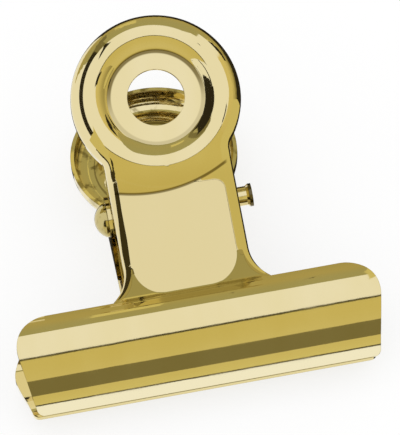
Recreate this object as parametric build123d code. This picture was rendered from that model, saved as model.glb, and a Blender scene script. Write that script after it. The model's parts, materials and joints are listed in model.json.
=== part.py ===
from build123d import *
from math import acos, asin, atan2, cos, degrees, hypot, pi, radians, sin, sqrt, tan
import os

# Sizes are in millimetres and angles in degrees.
# A plate is drawn with X across it, Y up the handle, Z outward and the pivot axis at the origin.

# Stamped sheet
sheet = 0.8
edge_bend = 2.6
pivot_depth = 11.0

# Round thumb disc, its pressed ring and the skirt that leads down to the neck
disc_radius = 17.5
disc_height = 21.4
hole_radius = 5.9
crest_radius = 13.9
crest_rise = 1.45
crest_land = 0.1
ring_hollow = 2.2
ring_roll = 5.5
skirt_angle = 19.0
skirt_roll = 3.0
skirt_crease = 1.0
rim_depth = 3.0
root_fillet = 2.5

# Neck, its side flanges and their ears
neck_width = 26.0
flange_depth = 2.9
flange_stop = 0.2
ear_radius = 4.8
ear_rise = 8.5
ear_drop = 9.5
ear_blend = 2.5

# Jaw, seen from the front
jaw_length = 75.0
shoulder_y = -19.2
shoulder_fillet = 7.0
web_overlap = 4.6
web_fillet = 5.0
corner_radius = 7.0
end_taper = 10.0
lip_corner = 1.5

# Jaw, seen from the end
flat_end = -18.5
step_angle = 46.0
step_radius = 2.0
brow_height = 3.2
brow_radius = 5.0
brow_flat = 0.2
fall_angle = 30.0
fall_radius = 17.3
fall_run = 1.0
lip_angle = 4.0
lip_radius = 8.2
lip_run = 1.5

# Rivet through the four ears
pin_radius = 2.0
pin_clearance = 0.05
head_radius = 3.5
head_height = 2.6
head_rim = 0.5
head_gap = 0.05
tail_radius = 2.4
tail_height = 1.2
tail_play = 2.2
dimple_radius = 1.3
dimple_depth = 0.5

# Torsion spring round the rivet
wire_radius = 0.9
coil_radius = 4.1
coil_pitch = 2.4
whole_turns = 8
foot_from = 11.0
foot_run = 2.3
foot_bend = 3.0
foot_gap = 0.4

# Fits between the two plates
ear_clearance = 0.1
lip_gap = 0.1

# Places that several pieces share
neck_half = neck_width / 2
plate_shift = (sheet + ear_clearance) / 2
stack_half = neck_half + plate_shift
crest_z = pivot_depth + crest_rise
web_z = pivot_depth - sheet
below_ears = -ear_radius - 1
flange_end = shoulder_y + flange_stop


def plan_outline(inset):
    """Disc and neck seen from the front, down to the flare at the shoulders."""
    half = neck_half - inset
    edge = disc_radius - inset
    flare = shoulder_fillet + inset
    centre_x = half + flare
    centre_y = shoulder_y + shoulder_fillet
    end_y = flange_end - inset
    swing = asin((centre_y - end_y) / flare)
    end_x = centre_x - flare * cos(swing)
    middle = (centre_x - flare * cos(swing / 2), centre_y - flare * sin(swing / 2))
    root_y = disc_height - sqrt(edge**2 - half**2)
    with BuildSketch() as plan:
        with BuildLine():
            Polyline((0, disc_height), (half, disc_height), (half, centre_y))
            ThreePointArc((half, centre_y), middle, (end_x, end_y))
            Line((end_x, end_y), (0, end_y))
            mirror(about=Plane.YZ)
        make_face()
        with Locations((0, disc_height)):
            Circle(edge)
        for side in (-1, 1):
            root = plan.vertices().sort_by_distance((side * half, root_y, 0))[0]
            fillet(root, root_fillet + inset)
    return plan.sketch


def pressed_face(inset):
    """Block under the pressed face: sunken middle, ring and skirt about the disc's axis, then the neck plane."""
    top = pivot_depth - inset
    far = 2 * (disc_height - shoulder_y)
    turn = acos(1 - crest_rise / (ring_roll + ring_hollow))
    slip = radians(skirt_angle)
    bends = skirt_roll + skirt_crease
    slide = (crest_rise - bends * (1 - cos(slip))) / sin(slip)
    middle = (crest_radius - (ring_roll + ring_hollow) * sin(turn), top)
    hollow = JernArc(middle, (1, 0), ring_hollow + inset, degrees(turn))
    roll = JernArc(hollow @ 1, hollow % 1, ring_roll - inset, -degrees(turn))
    land = Line(roll @ 1, roll @ 1 + Vector(crest_land, 0))
    brow = JernArc(land @ 1, land % 1, skirt_roll - inset, -skirt_angle)
    skirt = Line(brow @ 1, brow @ 1 + (brow % 1) * slide)
    crease = JernArc(skirt @ 1, skirt % 1, skirt_crease + inset, skirt_angle)
    rest = Polyline(crease @ 1, (far, top), (far, below_ears), (0, below_ears), (0, top), middle)
    profile = make_face([hollow, roll, land, brow, skirt, crease, *rest.edges()])
    return Pos(0, disc_height, 0) * revolve(Plane.XZ * profile, Axis.Z)


def handle_solid(inset):
    """Solid handle under its outer face, or under its inner face for an inset of one sheet."""
    blank = Pos(0, 0, below_ears) * extrude(plan_outline(inset), amount=crest_z + 1 - below_ears)
    block = blank & pressed_face(inset)
    open_end = flange_end - inset
    upright = [f for f in block.faces() if abs(f.normal_at().Z) < 0.001 and f.center().Y > open_end + 0.001]
    brink = [e for f in upright for e in f.edges() if e.center().Z > pivot_depth - inset - 0.1]
    return fillet(brink, edge_bend - inset)


def ear_touch(point, side):
    """Where the straight edge from a point touches the round end of the ear."""
    swing = atan2(point[1], point[0]) - side * acos(ear_radius / hypot(*point))
    return (ear_radius * cos(swing), ear_radius * sin(swing))


def flange_outline():
    """Side view of the turned-back rim, the ear and the flange that runs out at the shoulder."""
    top = crest_z + 1
    far = disc_height + disc_radius + 1
    near = shoulder_y - shoulder_fillet
    rim = (ear_rise, pivot_depth - rim_depth)
    flange = (-ear_drop, pivot_depth - flange_depth)
    touch_up = ear_touch(rim, 1)
    touch_down = ear_touch(flange, -1)
    with BuildSketch(Plane.YZ) as outline:
        with BuildLine():
            Polyline((near, top), (far, top), (far, rim[1]), rim, touch_up)
            ThreePointArc(touch_up, (0, -ear_radius), touch_down)
            Polyline(touch_down, flange, (flange_end, web_z), (near, web_z), (near, top))
        make_face()
        for corner in (rim, flange):
            fillet(outline.vertices().sort_by_distance(corner)[0], ear_blend)
    return outline.sketch


def rounded_run(points, radii):
    """Straight runs through the points, each inner corner rounded by a tangent arc."""
    edges = []
    at = points[0]
    for before, corner, after, radius in zip(points, points[1:], points[2:], radii):
        come = (corner - before).normalized()
        leave = (after - corner).normalized()
        setback = radius * tan(radians(come.get_angle(leave)) / 2)
        edges.append(Line(at, corner - come * setback))
        at = corner + leave * setback
        edges.append(TangentArc(corner - come * setback, at, tangent=come))
    edges.append(Line(at, points[-1]))
    return edges


def jaw_corners():
    """Corners of the jaw's outer face, seen from the end, from the neck down to the lip."""
    step = radians(step_angle)
    fall = radians(fall_angle)
    lip = radians(lip_angle)
    half_fall = tan(fall / 2)
    half_lip = tan((fall - lip) / 2)
    bend_in = Vector(flat_end - step_radius * tan(step / 2), pivot_depth)
    bend_out = bend_in + Vector(-brow_height / tan(step), brow_height)
    brow_run = brow_radius * tan(step / 2) + brow_flat + fall_radius * half_fall
    brow = bend_out - Vector(brow_run, 0)
    fall_length = fall_radius * half_fall + fall_run + lip_radius * half_lip
    throat = brow - Vector(cos(fall), sin(fall)) * fall_length
    lip_edge = throat - Vector(cos(lip), sin(lip)) * (lip_radius * half_lip + lip_run)
    start = Vector(flat_end + web_overlap, pivot_depth)
    return [start, bend_in, bend_out, brow, throat, lip_edge]


def jaw_outline(lip_y):
    """Front view of the jaw: web under the neck, shoulders, tapered ends and lip."""
    taper = radians(end_taper)
    web_top = flat_end + web_overlap
    web_half = neck_half - edge_bend / 2
    centre_x = jaw_length / 2 - corner_radius
    centre_y = shoulder_y - corner_radius
    touch_x = centre_x + corner_radius * cos(taper)
    touch_y = centre_y - corner_radius * sin(taper)
    corner = (touch_x + (shoulder_y - touch_y) * tan(taper), shoulder_y)
    lip = (touch_x - (touch_y - lip_y) * tan(taper), lip_y)
    waist = (web_half, shoulder_y)
    with BuildSketch() as outline:
        with BuildLine():
            Polyline((0, web_top), (web_half, web_top), waist, corner, lip, (0, lip_y))
            mirror(about=Plane.YZ)
        make_face()
        for place, radius in ((waist, web_fillet), (corner, corner_radius), (lip, lip_corner)):
            for side in (-1, 1):
                spot = (side * place[0], place[1], 0)
                fillet(outline.vertices().sort_by_distance(spot)[0], radius)
    return outline.sketch


def jaw_solid():
    """Bent jaw sheet, cut to its front outline."""
    corners = jaw_corners()
    bends = (step_radius, brow_radius, fall_radius, lip_radius)
    outer = Wire(rounded_run(corners, bends))
    section = Face(outer.offset_2d(sheet, side=Side.LEFT))
    bent = extrude(Plane.YZ * section, amount=jaw_length, both=True)
    blank = extrude(jaw_outline(corners[-1].X), amount=2 * crest_z)
    return bent & blank


def plate_solid():
    """One stamped plate: hollow handle with ears, and the jaw."""
    shell = handle_solid(0) - handle_solid(sheet)
    kept = shell & extrude(flange_outline(), amount=2 * disc_radius, both=True)
    plate = kept + jaw_solid()
    plate -= Pos(0, disc_height, pivot_depth) * Cylinder(hole_radius, 4 * sheet)
    plate -= Rot(0, 90, 0) * Cylinder(pin_radius + pin_clearance, 2 * neck_width)
    return plate.clean()


def rest_turn():
    """Lean of each handle from the middle plane when the lips are shut."""
    lip = radians(lip_angle)
    edge = jaw_corners()[-1] + Vector(sin(lip), -cos(lip)) * sheet
    return degrees(atan2(edge.Y, -edge.X) - asin(lip_gap / 2 / edge.length))


def lying_turn():
    """Slope of the desk against a plate's neck when the clip lies on its disc ring and jaw brow."""
    corners = jaw_corners()
    ring = Vector(disc_height + crest_radius + crest_land, crest_z - skirt_roll)
    brow_top = pivot_depth + brow_height
    brow_y = corners[2].X - brow_radius * tan(radians(step_angle) / 2)
    slopes = []
    for y, radius in ((brow_y, brow_radius), (brow_y - brow_flat, fall_radius)):
        line = ring - Vector(y, brow_top - radius)
        slopes.append(atan2(line.Y, line.X) + asin((skirt_roll - radius) / line.length))
    slope = min(slopes)
    height = ring.Y * cos(slope) - ring.X * sin(slope) + skirt_roll
    return degrees(slope), height


def rivet_solid():
    """Rivet with a domed head on the left and a spread, dimpled tail on the right."""
    head_x = -stack_half - head_gap
    tail_x = stack_half + tail_play
    end_x = tail_x + tail_height
    rise = head_height - head_rim
    ball = (head_radius**2 + rise**2) / (2 * rise)
    with BuildSketch() as profile:
        with BuildLine():
            RadiusArc((head_x - head_height, 0), (head_x - head_rim, head_radius), ball)
            Polyline((head_x - head_rim, head_radius), (head_x, head_radius), (head_x, pin_radius))
            Polyline((head_x, pin_radius), (tail_x, pin_radius), (tail_x + tail_height / 2, tail_radius))
            Line((tail_x + tail_height / 2, tail_radius), (end_x, tail_radius))
            Polyline((end_x, tail_radius), (end_x, dimple_radius), (end_x - dimple_depth, 0))
            Line((end_x - dimple_depth, 0), (head_x - head_height, 0))
        make_face()
    return revolve(profile.sketch, Axis.X)


def biarc(start, start_way, end, end_way):
    """Two arcs that leave one point and reach the next along given directions."""
    chord = end - start
    bend = 2 * (1 - start_way.dot(end_way))
    along = 2 * chord.dot(start_way + end_way)
    reach = (sqrt(along**2 + 4 * bend * chord.dot(chord)) - along) / (2 * bend)
    first = start + start_way * reach
    second = end - end_way * reach
    join = (first + second) * 0.5
    return [TangentArc(start, join, tangent=start_way), TangentArc(join, end, tangent=second - first)]


def spring_path(rest):
    """Centre line of the spring: foot and arm on one handle, coil, arm and foot on the other."""
    foot_z = crest_z - sheet - foot_gap - wire_radius
    away = hypot(foot_from, foot_z)
    lean = atan2(foot_z, foot_from) - asin(coil_radius / away)
    turns = whole_turns + 0.5 - (radians(rest) + lean) / pi
    arm_x = coil_pitch * turns / 2
    touch = Vector(arm_x, -coil_radius * sin(lean), coil_radius * cos(lean))
    foot = [Vector(arm_x, foot_from + foot_run, foot_z), Vector(arm_x, foot_from, foot_z), touch]
    front = [p.rotate(Axis.X, rest) for p in foot]
    rear = [p.rotate(Axis.Y, 180) for p in reversed(front)]
    quarters = round(4 * turns)
    start = radians(rest) + lean + pi / 2
    spots = []
    for k in range(quarters + 1):
        turn = start + 2 * pi * turns * k / quarters
        slope = 0 if k in (0, quarters) else -coil_pitch / (2 * pi)
        spot = Vector(arm_x - coil_pitch * turns * k / quarters, coil_radius * cos(turn), coil_radius * sin(turn))
        way = Vector(slope, -coil_radius * sin(turn), coil_radius * cos(turn)).normalized()
        spots.append((spot, way))
    edges = rounded_run(front, [foot_bend])
    for here, there in zip(spots, spots[1:]):
        edges += biarc(*here, *there)
    return edges + rounded_run(rear, [foot_bend])


def least_gap(edges):
    """Least clear distance between stretches of the wire that are half a turn or more apart."""
    points = []
    travelled = 0.0
    for e in edges:
        for k in range(6):
            points.append((travelled + e.length * k / 6, e @ (k / 6)))
        travelled += e.length
    apart = pi * coil_radius
    gaps = [(p - q).length for s, p in points for t, q in points if t - s > apart]
    return min(gaps) - 2 * wire_radius


def spring_solid(rest):
    """Wire swept along the whole spring."""
    edges = spring_path(rest)
    print(f"spring least gap to itself {least_gap(edges):.2f} mm")
    path = Wire(edges)
    section = Plane(path @ 0, z_dir=path % 0) * Circle(wire_radius)
    swept = sweep(section, path=path)
    print(f"spring volume {swept.volume:.1f}, section times length {pi * wire_radius**2 * path.length:.1f} mm3")
    return swept


def main():
    rest = rest_turn()
    slope, pivot_height = lying_turn()
    front = Pos(plate_shift, 0, 0) * Rot(rest, 0, 0) * plate_solid()
    pieces = {
        "front_plate": front,
        "rear_plate": Rot(0, 180, 0) * front,
        "pivot_rivet": rivet_solid(),
        "torsion_spring": spring_solid(rest),
    }
    lying = Rot(rest + slope, 0, 0)
    spans = [(lying * pieces[name]).bounding_box() for name in ("front_plate", "rear_plate")]
    middle = (min(s.min.Y for s in spans) + max(s.max.Y for s in spans)) / 2
    os.makedirs("parts", exist_ok=True)
    for name, piece in pieces.items():
        export_step(Pos(0, -middle, pivot_height) * lying * piece, f"parts/{name}.step")
    print(f"handle lean {rest:.3f}, tilt on the desk {rest + slope:.3f} degrees")
    print(f"pivot axis at y {-middle:.4f}, z {pivot_height:.4f} mm")


main()
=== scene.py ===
import json
from math import asin, atan2, cos, hypot, pi, radians, sin, sqrt, tan

import bmesh
import bpy
from mathutils import Matrix, Vector


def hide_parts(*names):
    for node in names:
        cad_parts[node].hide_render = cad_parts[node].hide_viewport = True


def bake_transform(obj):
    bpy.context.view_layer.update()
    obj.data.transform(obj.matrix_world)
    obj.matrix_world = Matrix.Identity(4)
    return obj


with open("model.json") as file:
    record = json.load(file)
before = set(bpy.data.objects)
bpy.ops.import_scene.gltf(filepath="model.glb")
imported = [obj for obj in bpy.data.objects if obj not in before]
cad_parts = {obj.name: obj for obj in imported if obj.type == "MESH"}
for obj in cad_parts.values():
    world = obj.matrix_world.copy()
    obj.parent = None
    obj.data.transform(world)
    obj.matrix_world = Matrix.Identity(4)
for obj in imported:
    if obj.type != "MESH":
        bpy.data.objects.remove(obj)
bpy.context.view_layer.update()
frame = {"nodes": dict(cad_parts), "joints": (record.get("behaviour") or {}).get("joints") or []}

nodes = frame["nodes"]
mm = 0.001

# Hinge of the two plates, and how the clip lies on the desk
hinge = Vector(frame["joints"][0]["pos_m"])
front_tilt = radians(25.127)
coil_tilt = radians(11.727)
handle_lean = front_tilt - coil_tilt
rear_tilt = coil_tilt - handle_lean

# Places on a plate: X across it, Y up the handle, Z outward from the hinge
disc_height = 21.4 * mm
plate_shift = 0.45 * mm
disc_centre = (plate_shift, disc_height, 0.0)
groove_radius = 9.7 * mm
skirt_radius = 18.3 * mm
crease_centre = (-2.75 * mm, 32.2 * mm, 0.0)
crease_radius = 30.3 * mm

# Stretches up a plate, each from where a mark or a slope starts to where it is full
under_disc = (disc_height - 11 * mm, disc_height - 14 * mm)
over_hole = (disc_height - 3 * mm, disc_height + 4 * mm)
up_handle = (0.0, 8 * mm)
down_neck = (8 * mm, 3 * mm)
up_neck = (-21 * mm, -18 * mm)
down_lip = (-34.8 * mm, -37.5 * mm)
up_foot = (-20.4 * mm, -19.8 * mm)
up_roll = (-14 * mm, -11.5 * mm)

# How squarely a face looks outward, and how far an edge turns, where a finish starts and is full
inner_face = (0.1, -0.1)
flat_face = (0.75, 0.97)
level_face = (0.95, 0.995)
sharp_edge = (0.03, 0.14)

# Foot of the neck, which slopes away round the lower corners of the flat panel
foot_slope = -0.55
panel_drop = 12.5 * mm
panel_half = 4.4 * mm
panel_corner = 6 * mm
foot_start = (0.0, 0.5 * mm)
foot_fade = (0.0, 0.7 * mm)

# Skirt of the disc, which slopes on from the solid's own as far as the crease
skirt_slope = 0.33
skirt_start = (skirt_radius - 0.8 * mm, skirt_radius - 0.6 * mm)
above_crease = (0.1 * mm, -0.1 * mm)

# Right edge of the neck, which rolls over from the panel's upper corner down
roll_slope = -0.36
roll_top = 0.2 * mm
roll_side = 8.7 * mm
roll_corner = 2 * mm
roll_fade = (0.0, 0.6 * mm)
roll_across = (2 * mm, 8 * mm)
under_crease = (-0.1 * mm, 0.1 * mm)

# Marks in the plating, and the painted shade lines in the crease, the groove and at the edges: how wide
# they are, and how deep those that can be felt
wave_grain = 9 * mm
wave_depth = 0.02 * mm
smear_grain = 14 * mm
smear_stretch = (1.0, 0.4, 1.0)
hairline_grain = 0.5 * mm
hairline_stretch = (0.05, 1.0, 1.0)
hairline_depth = 0.0002 * mm
stain_grain = 2.2 * mm
crease_line = (0.42 * mm, 0.15 * mm)
groove_line = (0.6 * mm, 0.25 * mm)
plate_edge_wear_and_shade = 0.22 * mm

# Rivet, along its axis from the middle: its dull head and its tail darkened with painted shade, and the
# marks on it
rivet_head = (-13.0 * mm, -13.4 * mm)
rivet_tail = (15.9 * mm, 16.3 * mm)
tool_ring_pitch = 0.35 * mm
tool_ring_depth = 0.001 * mm
dent_grain = 1.5 * mm
dent_depth = 0.03 * mm
rivet_edge_wear_and_shade = 0.2 * mm

# Torsion spring, as wound round the rivet
wire_radius = 0.9 * mm
coil_radius = 4.1 * mm
coil_pitch = 2.4 * mm
whole_turns = 8
foot_from = 11.0 * mm
foot_run = 2.3 * mm
foot_bend = 3.0 * mm
foot_height = 10.35 * mm
end_round = 0.25 * mm
oil_grain = 1.8 * mm
draw_mark_grain = 0.25 * mm
draw_mark_depth = 0.004 * mm

# How finely the wire and the cards are drawn, and worn edges are looked for
wire_sides = 20
steps_a_turn = 40
steps_a_bend = 6
steps_an_end = 3
card_rows = 8
card_columns = 16
edge_samples = 8

# Colours of the metals and of what has come over them, and of the painted shade in the folds, on the inner
# faces, at the edges and on the rivet's tail
brass = (0.77, 0.665, 0.37, 1.0)
pale_brass = (0.79, 0.69, 0.41, 1.0)
deep_brass = (0.715, 0.605, 0.315, 1.0)
rubbed_brass = (0.85, 0.77, 0.51, 1.0)
dull_brass = (0.55, 0.46, 0.20, 1.0)
tarnish_and_painted_shade = (0.20, 0.15, 0.05, 1.0)
worn_and_shaded_edge = (0.36, 0.29, 0.13, 1.0)
painted_tail_shade = (0.06, 0.045, 0.02, 1.0)
drawn_steel = (0.46, 0.45, 0.43, 1.0)
oil_stain = (0.20, 0.16, 0.11, 1.0)

# Studio: plain white light, a pale floor, and cards in the colours that the metal mirrors
white = (1.0, 1.0, 1.0, 1.0)
sky_strength = 1.03
floor_half = 6.0
floor_glow = 0.75
card_reach = 2.0
band_reach = 1.9
gold = (0.745, 0.662, 0.285)
bright_gold = (0.78, 0.70, 0.36)
rich_gold = (0.72, 0.62, 0.24)
warm_gold = (0.8, 0.69, 0.3)
shaded_gold = (0.26, 0.22, 0.08)
cream = (0.9, 0.85, 0.66)
straw = (0.9, 0.84, 0.6)
olive = (0.5, 0.42, 0.16)
grey_olive = (0.44, 0.41, 0.2)
olive_brown = (0.235, 0.205, 0.09)
gap_brown = (0.1, 0.09, 0.05)
deep_brown = (0.055, 0.045, 0.02)
black = (0.03, 0.025, 0.015)

# Camera where the photographer stood, with the photo's height and scale in pixels
view_azimuth = radians(-6.01)
view_elevation = radians(54.167)
view_roll = radians(5.231)
view_distance = 1160 * mm
view_centre = Vector((0.0, 0.0, 18 * mm))
aim_right = 5.973 * mm
aim_down = 3.903 * mm
photo_height = 435
photo_scale = 4.873 / mm
sensor_width = 36.0
nearest_seen = 0.01


# Shader values that add up, and materials made of them

class Signal:
    """One socket of a material; sums on it add Math nodes."""

    def __init__(self, finish, socket):
        self.finish = finish
        self.socket = socket

    def reckon(self, operation, *terms):
        return self.finish.node("ShaderNodeMath", {"operation": operation}, dict(enumerate(terms)))

    def __add__(self, other):
        return self.reckon("ADD", self, other)

    def __radd__(self, other):
        return self.reckon("ADD", other, self)

    def __sub__(self, other):
        return self.reckon("SUBTRACT", self, other)

    def __rsub__(self, other):
        return self.reckon("SUBTRACT", other, self)

    def __mul__(self, other):
        return self.reckon("MULTIPLY", self, other)

    def __rmul__(self, other):
        return self.reckon("MULTIPLY", other, self)

    def __pow__(self, other):
        return self.reckon("POWER", self, other)

    def __abs__(self):
        return self.reckon("ABSOLUTE", self)

    def sine(self):
        return self.reckon("SINE", self)

    def past(self, start):
        """How far the value is beyond the start, and 0 before it."""
        return self.reckon("MAXIMUM", self - start, 0.0)


def outside_corner(first, second, radius):
    """Distance outside a round corner, from how far a spot is past its centre each way."""
    return (first * first + second * second) ** 0.5 - radius


class Finish:
    """A material, filled node by node."""

    def __init__(self, name):
        self.material = bpy.data.materials.new(name)
        self.material.use_nodes = True
        self.tree = self.material.node_tree
        self.tree.nodes.clear()

    def node(self, kind, settings=None, inputs=None, out=0):
        """Adds a node, sets its settings, then its sockets; gives back one of its outputs."""
        made = self.tree.nodes.new(kind)
        for name, value in (settings or {}).items():
            setattr(made, name, value)
        for name, value in (inputs or {}).items():
            if isinstance(value, Signal):
                self.tree.links.new(value.socket, made.inputs[name])
            else:
                made.inputs[name].default_value = value
        return Signal(self, made.outputs[out]) if made.outputs else None

    def place(self):
        return self.node("ShaderNodeTexCoord", out="Object")

    def vector(self, operation, first, second, out=0):
        return self.node("ShaderNodeVectorMath", {"operation": operation}, {0: first, 1: second}, out)

    def part(self, vector, axis):
        return self.node("ShaderNodeSeparateXYZ", None, {0: vector}, axis)

    def turn(self, vector, angle):
        """Turns a vector about the hinge's direction."""
        about_hinge = {"rotation_type": "X_AXIS"}
        return self.node("ShaderNodeVectorRotate", about_hinge, {"Vector": vector, "Angle": angle})

    def length(self, vector, axes):
        """Length of a vector, along the axes that are 1."""
        kept = self.vector("MULTIPLY", vector, axes)
        return self.vector("LENGTH", kept, (0.0, 0.0, 0.0), "Value")

    def noise(self, place, grain, detail=2.0, stretch=(1.0, 1.0, 1.0)):
        """Cloudy noise from 0 to 1 whose patches are about one grain across."""
        spot = self.vector("MULTIPLY", place, stretch)
        return self.node("ShaderNodeTexNoise", None, {"Vector": spot, "Scale": 1 / grain, "Detail": detail})

    def ramp(self, value, start, full):
        """Smooth change from 0 at the start to 1 where it is full, whichever of them is higher."""
        ends = {"Value": value, "From Min": start, "From Max": full}
        return self.node("ShaderNodeMapRange", {"interpolation_type": "SMOOTHSTEP"}, ends)

    def mix(self, share, first, second):
        return self.node("ShaderNodeMix", {"data_type": "RGBA"}, {0: share, 6: first, 7: second}, 2)

    def edges(self, radius):
        """1 on sharp edges of the metal, 0 on flats and easy bends."""
        soft = self.node("ShaderNodeBevel", {"samples": edge_samples}, {"Radius": radius})
        sharp = self.node("ShaderNodeNewGeometry", out="Normal")
        return self.ramp(1.0 - self.vector("DOT_PRODUCT", soft, sharp, "Value"), *sharp_edge)

    def bump(self, height, distance, under=None):
        inputs = {"Height": height, "Distance": distance, "Strength": 1.0}
        if under:
            inputs["Normal"] = under
        return self.node("ShaderNodeBump", None, inputs)

    def lean(self, slope, share, under):
        """Tips the surface as a slope would, as far as the share says."""
        return self.node("ShaderNodeBump", None, {
            "Height": slope, "Distance": 1.0, "Strength": share, "Normal": under,
        })

    def surface(self, shader):
        self.node("ShaderNodeOutputMaterial", None, {"Surface": shader})
        return self.material

    def metal(self, colour, roughness, normal):
        return self.surface(self.node("ShaderNodeBsdfPrincipled", None, {
            "Base Color": colour, "Metallic": 1.0, "Roughness": roughness, "Normal": normal,
        }))


class Plating(Finish):
    """Bright brass plating on a stamped plate; side is 1 for the front plate and -1 for the rear one."""

    def __init__(self, name, tilt, side):
        super().__init__(name)
        turned = self.turn(self.vector("SUBTRACT", self.place(), hinge), -tilt)
        self.local = self.vector("MULTIPLY", turned, (side, 1.0, side))
        self.across = self.part(self.local, "X")
        self.height = self.part(self.local, "Y")
        facing = self.turn(self.node("ShaderNodeTexCoord", out="Normal"), -tilt)
        outward = side * self.part(facing, "Z")
        self.flat = self.ramp(outward, *flat_face)
        self.level = self.ramp(outward, *level_face)
        self.from_disc = self.away_from(disc_centre)
        self.below_crease = self.away_from(crease_centre) - crease_radius
        self.below_disc = self.ramp(self.height, *under_disc)
        self.smears = self.noise(self.local, smear_grain, 4.0, smear_stretch)
        self.hairlines = self.noise(self.local, hairline_grain, 2.0, hairline_stretch)
        # Stains and painted shade: dark patches only on the faces turned inward, between the plates
        spots = self.ramp(self.noise(self.local, stain_grain, 4.0), 0.5, 0.66)
        self.stains = self.ramp(outward, *inner_face) * spots * self.ramp(self.height, *up_handle)
        # Sharp edges, darkened for wear and as painted dark outlines
        self.edge = self.edges(plate_edge_wear_and_shade)

    def away_from(self, centre):
        """Distance from a spot, measured along the plate."""
        return self.length(self.vector("SUBTRACT", self.local, centre), (1.0, 1.0, 0.0))

    def colour(self):
        """Brass, deeper on the neck and rubbed at the lip; painted shade darkens the crease and the groove,
        stains and painted shade darken the inner faces, and wear and painted shade darken the edges.
        """
        neck = self.ramp(self.height, *down_neck) * self.ramp(self.height, *up_neck)
        # Painted shade: a dark line along the crease under the skirt, and one round the groove, darker over
        # the hole
        crease = self.ramp(abs(self.below_crease), *crease_line) * self.below_disc * self.flat
        groove = self.ramp(abs(self.from_disc - groove_radius), *groove_line)
        groove = groove * (0.3 + 0.65 * self.ramp(self.height, *over_hole))
        plating = self.mix(self.ramp(self.smears, 0.4, 0.65), brass, pale_brass)
        plating = self.mix(neck * 0.8, plating, deep_brass)
        plating = self.mix(self.ramp(self.height, *down_lip), plating, rubbed_brass)
        # Stains and painted shade on the inner faces
        plating = self.mix(self.stains * 0.75, plating, tarnish_and_painted_shade)
        plating = self.mix(crease * 0.92 + groove, plating, tarnish_and_painted_shade)
        # Edges darkened as wear and as painted shade
        return self.mix(self.edge * 0.7, plating, worn_and_shaded_edge)

    def roughness(self):
        """Near a mirror's, and duller in smears, hairlines, stains and on worn edges."""
        smeared = 0.05 * self.ramp(self.smears, 0.45, 0.75)
        scratched = 0.03 * self.ramp(self.hairlines, 0.6, 0.75)
        return 0.05 + smeared + scratched + 0.12 * self.stains + 0.1 * self.edge

    def marks(self):
        """Soft waves in the sheet, with hairlines over them."""
        waves = self.bump(self.noise(self.local, wave_grain, 3.0), wave_depth)
        return self.bump(self.hairlines, hairline_depth, waves)

    def sloped_foot(self, under):
        drop = (0.0 - self.height).past(panel_drop)
        outside = outside_corner(drop, abs(self.across).past(panel_half), panel_corner)
        foot = self.ramp(self.height, *up_foot) * self.ramp(drop, *foot_start) * self.flat
        return self.lean(self.height * foot_slope, foot * self.ramp(outside, *foot_fade), under)

    def sloped_skirt(self, under):
        skirt = self.ramp(self.from_disc, *skirt_start) * self.level
        skirt = skirt * self.ramp(self.below_crease, *above_crease) * self.below_disc
        return self.lean(self.height * skirt_slope, skirt, under)

    def rolled_edge(self, under):
        rise = self.height.past(roll_top)
        outside = outside_corner(rise, self.across.past(roll_side), roll_corner)
        roll = self.ramp(outside, *roll_fade) * self.ramp(self.height, *up_roll) * self.level
        roll = roll * self.ramp(self.below_crease, *under_crease) * self.ramp(self.across, *roll_across)
        return self.lean(self.across * roll_slope, roll, under)


def plated_sheet(name, tilt, side):
    plating = Plating(name, tilt, side)
    slopes = plating.rolled_edge(plating.sloped_skirt(plating.sloped_foot(plating.marks())))
    return plating.metal(plating.colour(), plating.roughness(), slopes)


def plated_rivet():
    """Plating with a dull head and a tail darkened with painted shade, and the rings that the heading tool
    leaves on both.
    """
    finish = Finish("plated_rivet")
    place = finish.vector("SUBTRACT", finish.place(), hinge)
    along = finish.part(place, "X")
    rings = (finish.length(place, (0.0, 1.0, 1.0)) * (2 * pi / tool_ring_pitch)).sine()
    dents = finish.noise(place, dent_grain, 3.0)
    edge = finish.edges(rivet_edge_wear_and_shade)
    plating = finish.mix(finish.ramp(along, *rivet_head), pale_brass, dull_brass)
    plating = finish.mix(finish.ramp(dents, 0.55, 0.75) * 0.35, plating, tarnish_and_painted_shade)
    # Edges darkened as wear and as painted shade
    plating = finish.mix(edge * 0.6, plating, worn_and_shaded_edge)
    # Painted shade: the tail darkened nearly black where it mirrors dark
    plating = finish.mix(finish.ramp(along, *rivet_tail) * 0.9, plating, painted_tail_shade)
    roughness = 0.08 + 0.08 * dents + 0.12 * edge
    ringed = finish.bump(rings, tool_ring_depth)
    return finish.metal(plating, roughness, finish.bump(dents, dent_depth, ringed))


def spring_steel():
    """Drawn spring wire, oiled and a little stained."""
    finish = Finish("spring_steel")
    place = finish.place()
    stains = finish.noise(place, oil_grain, 4.0)
    colour = finish.mix(finish.ramp(stains, 0.45, 0.75) * 0.6, drawn_steel, oil_stain)
    draw_marks = finish.noise(place, draw_mark_grain)
    return finish.metal(colour, 0.2 + 0.2 * stains, finish.bump(draw_marks, draw_mark_depth))


def new_object(name, shape, material):
    mesh = bpy.data.meshes.new(name)
    shape.to_mesh(mesh)
    shape.free()
    mesh.materials.append(material)
    obj = bpy.data.objects.new(name, mesh)
    bpy.context.scene.collection.objects.link(obj)
    return obj


# Torsion spring

def middle_of(ring):
    spots = {v for e in ring for v in e.verts}
    return sum((v.co for v in spots), Vector()) / len(spots)


def carry_wire(shape, ring, centre, angle, steps, step):
    """Carries the wire's end round a centre, moving it by one step each time; gives back its new end."""
    made = bmesh.ops.spin(
        shape, geom=ring, cent=centre, axis=(1, 0, 0), angle=angle, steps=steps, dvec=step)
    return [e for e in made["geom_last"] if isinstance(e, bmesh.types.BMEdge)]


def draw_wire(shape, ring, heading, length):
    """Carries the wire's end straight on, in the plane across the hinge."""
    way = Vector((0.0, cos(heading), sin(heading))) * length
    return carry_wire(shape, ring, (0, 0, 0), 0.0, 1, way)


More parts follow.
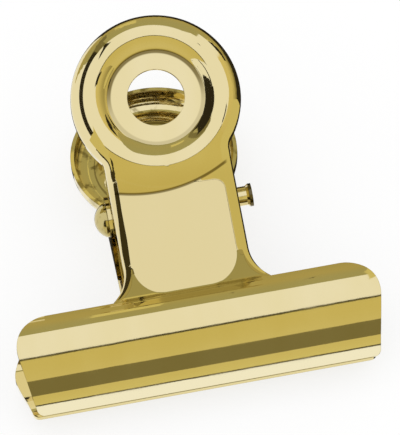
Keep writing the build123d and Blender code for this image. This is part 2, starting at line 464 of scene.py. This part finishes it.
def bend_wire(shape, ring, heading, radius, angle, steps, drift=0.0):
    """Carries the wire's end round a bend, or round the coil while it drifts along the hinge."""
    centre = middle_of(ring) + Vector((0.0, -sin(heading), cos(heading))) * radius
    return carry_wire(shape, ring, centre, angle, steps, (drift / steps, 0, 0))


def tip_over(shape, angle):
    """Turns a whole shape about the hinge's direction."""
    bmesh.ops.rotate(shape, verts=shape.verts[:], cent=(0, 0, 0), matrix=Matrix.Rotation(angle, 3, "X"))


def torsion_spring():
    """Wire from the front foot along its arm, round the coil and out along the other arm."""
    away = hypot(foot_from, foot_height)
    arm_lean = atan2(foot_height, foot_from) - asin(coil_radius / away)
    turns = whole_turns + 0.5 - (handle_lean + arm_lean) / pi
    arm_x = coil_pitch * turns / 2
    setback = foot_bend * tan(arm_lean / 2)
    foot = foot_run - setback
    arm = sqrt(away**2 - coil_radius**2) - setback
    sweep = 2 * pi * turns
    shape = bmesh.new()
    bmesh.ops.create_circle(shape, cap_ends=True, radius=wire_radius, segments=wire_sides)
    tip_over(shape, pi / 2)
    bmesh.ops.translate(shape, verts=shape.verts[:], vec=(arm_x, foot_from + foot_run, foot_height))
    first = shape.edges[:]
    ring = draw_wire(shape, first, pi, foot)
    ring = bend_wire(shape, ring, pi, foot_bend, arm_lean, steps_a_bend)
    heading = pi + arm_lean
    ring = draw_wire(shape, ring, heading, arm)
    ring = bend_wire(shape, ring, heading, coil_radius, sweep, round(steps_a_turn * turns), -2 * arm_x)
    heading += sweep
    ring = draw_wire(shape, ring, heading, arm)
    ring = bend_wire(shape, ring, heading, foot_bend, arm_lean, steps_a_bend)
    last = draw_wire(shape, ring, heading + arm_lean, foot)
    bmesh.ops.contextual_create(shape, geom=last)
    bmesh.ops.recalc_face_normals(shape, faces=shape.faces[:])
    for face in shape.faces:
        face.smooth = True
    bmesh.ops.bevel(
        shape, geom=first + last, offset=end_round, segments=steps_an_end, profile=0.5,
        affect="EDGES", material=-1)
    tip_over(shape, front_tilt)
    bmesh.ops.translate(shape, verts=shape.verts[:], vec=hinge)
    obj = new_object("torsion_wire", shape, spring_steel())
    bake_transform(obj)
    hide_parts("torsion_spring")


# Floor, light and the cards that the metal mirrors

def on_sphere(reach, azimuth, elevation):
    """Spot on a sphere round the clip, with the azimuth counted from the front towards the right."""
    return Vector((
        reach * sin(azimuth) * cos(elevation),
        -reach * cos(azimuth) * cos(elevation),
        reach * sin(elevation),
    ))


def glow(name, colour, top=None, low=0.0, high=0.0, one_sided=False):
    """Glowing card: with a top colour it changes from low to high; a one-sided one is clear from behind."""
    finish = Finish(name)
    shade = (*colour, 1.0)
    if top:
        rise = finish.ramp(finish.part(finish.place(), "Z"), low, high)
        shade = finish.mix(rise, shade, (*top, 1.0))
    shader = finish.node("ShaderNodeEmission", None, {"Color": shade, "Strength": 1.0})
    if one_sided:
        behind = finish.node("ShaderNodeNewGeometry", out="Backfacing")
        clear = finish.node("ShaderNodeBsdfTransparent")
        shader = finish.node("ShaderNodeMixShader", None, {0: behind, 1: shader, 2: clear})
    return finish.surface(shader)


def only_mirrored(obj):
    obj.visible_camera = False
    obj.visible_diffuse = False
    obj.visible_transmission = False
    obj.visible_shadow = False


def card(name, azimuths, elevations, colour, top=None):
    """Part of a sphere round the clip, in degrees, shaded from its colour to that of its top."""
    left, right = (radians(a) for a in azimuths)
    low, high = (radians(e) for e in elevations)
    shape = bmesh.new()
    start = shape.verts.new(on_sphere(card_reach, 0.0, low))
    bmesh.ops.spin(shape, geom=[start], cent=(0, 0, 0), axis=(-1, 0, 0), angle=high - low, steps=card_rows)
    bmesh.ops.rotate(shape, verts=shape.verts[:], cent=(0, 0, 0), matrix=Matrix.Rotation(left, 3, "Z"))
    side = shape.verts[:] + shape.edges[:]
    bmesh.ops.spin(
        shape, geom=side, cent=(0, 0, 0), axis=(0, 0, 1), angle=right - left, steps=card_columns)
    shade = glow(name, colour, top, card_reach * sin(low), card_reach * sin(high))
    only_mirrored(new_object(name, shape, shade))


def band(name, stations, colour):
    """Strip of a nearer sphere, by azimuths in degrees, each with its lowest and highest elevation."""
    shape = bmesh.new()
    pairs = []
    for station in stations:
        azimuth, *heights = (radians(angle) for angle in station)
        pairs.append([shape.verts.new(on_sphere(band_reach, azimuth, height)) for height in heights])
    for (low, high), (next_low, next_high) in zip(pairs, pairs[1:]):
        shape.faces.new((low, next_low, next_high, high))
    only_mirrored(new_object(name, shape, glow(name, colour)))


def flag(name, corners, colour, one_sided=False):
    """Flat sheet held close to the clip, by its corners in millimetres."""
    shape = bmesh.new()
    shape.faces.new([shape.verts.new(Vector(c) * mm) for c in corners])
    only_mirrored(new_object(name, shape, glow(name, colour, one_sided=one_sided)))


def side_flag(name, x, corners, colour, one_sided=True):
    """Flag square to the hinge, by its corners' Y and Z."""
    flag(name, [(x, y, z) for y, z in corners], colour, one_sided)


def facing_flag(name, y, across, up, colour):
    """Upright oblong flag along the hinge, by its ends' X and its edges' Z."""
    left, right = across
    low, high = up
    flag(name, [(left, y, low), (right, y, low), (right, y, high), (left, y, high)], colour)


def floor():
    """Pale paper that keeps the clip's shadow, and glows a little where it is seen."""
    shape = bmesh.new()
    bmesh.ops.create_grid(shape, x_segments=1, y_segments=1, size=floor_half)
    finish = Finish("floor")
    paper = finish.node("ShaderNodeBsdfDiffuse", None, {"Color": white})
    light = finish.node("ShaderNodeEmission", None, {"Color": white, "Strength": 1.0})
    camera, glossy, through = (
        finish.node("ShaderNodeLightPath", out=ray)
        for ray in ("Is Camera Ray", "Is Glossy Ray", "Is Transmission Ray")
    )
    seen = floor_glow * (camera + glossy + through)
    both = finish.node("ShaderNodeMixShader", None, {0: seen, 1: paper, 2: light})
    obj = new_object("floor", shape, finish.surface(both))
    obj.visible_glossy = False


def sky():
    world = bpy.data.worlds.new("studio")
    bpy.context.scene.world = world
    world.use_nodes = True
    background = world.node_tree.nodes["Background"]
    background.inputs["Color"].default_value = white
    background.inputs["Strength"].default_value = sky_strength


def far_cards():
    """Cards all round, which give the plates their broad gold, olive and dark bands."""
    card("front_gap_card", (-50, 46), (52, 54.3), gap_brown)
    card("front_gold_card", (-50, 47), (-10, 52), bright_gold, rich_gold)
    card("front_low_card", (-60, 60), (-85, -10), cream)
    card("right_gold_card", (47, 122), (10, 53), shaded_gold, warm_gold)
    card("right_dark_card", (47, 122), (-60, 10), black)
    card("back_olive_card", (122, 238), (8, 71), olive, grey_olive)
    card("back_dark_card", (122, 200), (-60, 8), black)
    band("left_brown_band", [
        (-110, 58, 67), (-122, 58, 69), (-130, 55, 68),
        (-141, 50, 67), (-150, 40, 56), (-158, 30, 38),
    ], olive_brown)


def jaw_flags():
    """Dark band along the front jaw, and a pale end on the rear one."""
    facing_flag("jaw_dark_flag", -90, (-80, 80), (-30, 35.5), olive_brown)
    facing_flag("rear_end_flag", -15, (-45, -30), (3, 17.5), straw)


def disc_flags():
    """Dark lines and spots on the disc's ring and rim, and gold on its skirt and on the rear disc."""
    facing_flag("rear_gold_flag", 70, (-16, 0), (58, 92), gold)
    side_flag("ring_black_flag", -10, [
        (11, 45), (29, 46.5), (30, 70), (15, 67), (10, 62),
        (10, 59.2), (3.5, 56.2), (3.5, 54), (10.3, 55.6),
    ], black)
    side_flag("ring_spot_flag", 12, [
        (16.5, 45.8), (17.4, 54.5), (21, 54.5), (20.6, 49), (19.6, 45.8),
    ], black)
    side_flag("ring_line_flag", -30, [
        (-3, 51.2), (5, 51.6), (10.2, 52.9), (15.1, 55.6), (20.2, 59.3),
        (26, 65), (30.4, 70.5), (33.9, 76), (37.4, 82.5), (41, 90),
        (41, 95), (37.4, 89), (33.9, 82.5), (30.4, 76.5), (26, 71),
        (20.2, 63.7), (15.1, 60), (10.2, 57.3), (5, 56), (-3, 55.6),
    ], black)
    side_flag("rim_spot_flag", 30, [
        (22.5, 48.5), (25, 49.5), (26.5, 52), (29, 59),
        (33, 58), (30.5, 49.5), (27.5, 45.5), (22.5, 44.5),
    ], black)
    side_flag("skirt_gold_flag", -15, [(0.8, 28.6), (9, 30.5), (9, 40), (0.8, 36)], gold, False)


def neck_flags():
    """Brown on the neck's left bend, and a dark line and gold on its right one."""
    side_flag("neck_brown_flag", -25, [
        (-12, 14), (-7, 14), (-4, 24), (1, 31.5), (-1.6, 40.5),
        (-6.2, 54), (-9.5, 44), (-15, 42), (-17.5, 32.5),
    ], deep_brown)
    side_flag("neck_line_flag", 70, [(-30, 140), (-48, 140), (-58, 186), (-38, 186)], black, False)
    side_flag("neck_gold_flag", 40, [(-6, 3), (-32, 58), (2, 58), (18, 14)], gold)


def photo_camera():
    back = on_sphere(1.0, view_azimuth, view_elevation)
    level = Vector((cos(view_azimuth), sin(view_azimuth), 0.0))
    roll = Matrix.Rotation(-view_roll, 3, back)
    right = roll @ level
    up = roll @ back.cross(level)
    place = view_centre + back * view_distance
    aim = view_centre + right * aim_right - up * aim_down
    z_axis = (place - aim).normalized()
    x_axis = up.cross(z_axis).normalized()
    y_axis = z_axis.cross(x_axis)
    lens = bpy.data.cameras.new("camera")
    lens.sensor_width = sensor_width
    lens.lens = photo_scale * view_distance * sensor_width / photo_height
    lens.clip_start = nearest_seen
    obj = bpy.data.objects.new("camera", lens)
    turn = Matrix((x_axis, y_axis, z_axis)).transposed().to_4x4()
    obj.matrix_world = Matrix.Translation(place) @ turn
    bpy.context.scene.collection.objects.link(obj)
    bpy.context.scene.camera = obj


for name, material in (
    ("front_plate", plated_sheet("front_plating", front_tilt, 1.0)),
    ("rear_plate", plated_sheet("rear_plating", rear_tilt, -1.0)),
    ("pivot_rivet", plated_rivet()),
):
    nodes[name].data.materials.clear()
    nodes[name].data.materials.append(material)
torsion_spring()
sky()
floor()
far_cards()
jaw_flags()
disc_flags()
neck_flags()
photo_camera()

scene = bpy.context.scene
scene.view_settings.view_transform = "Standard"
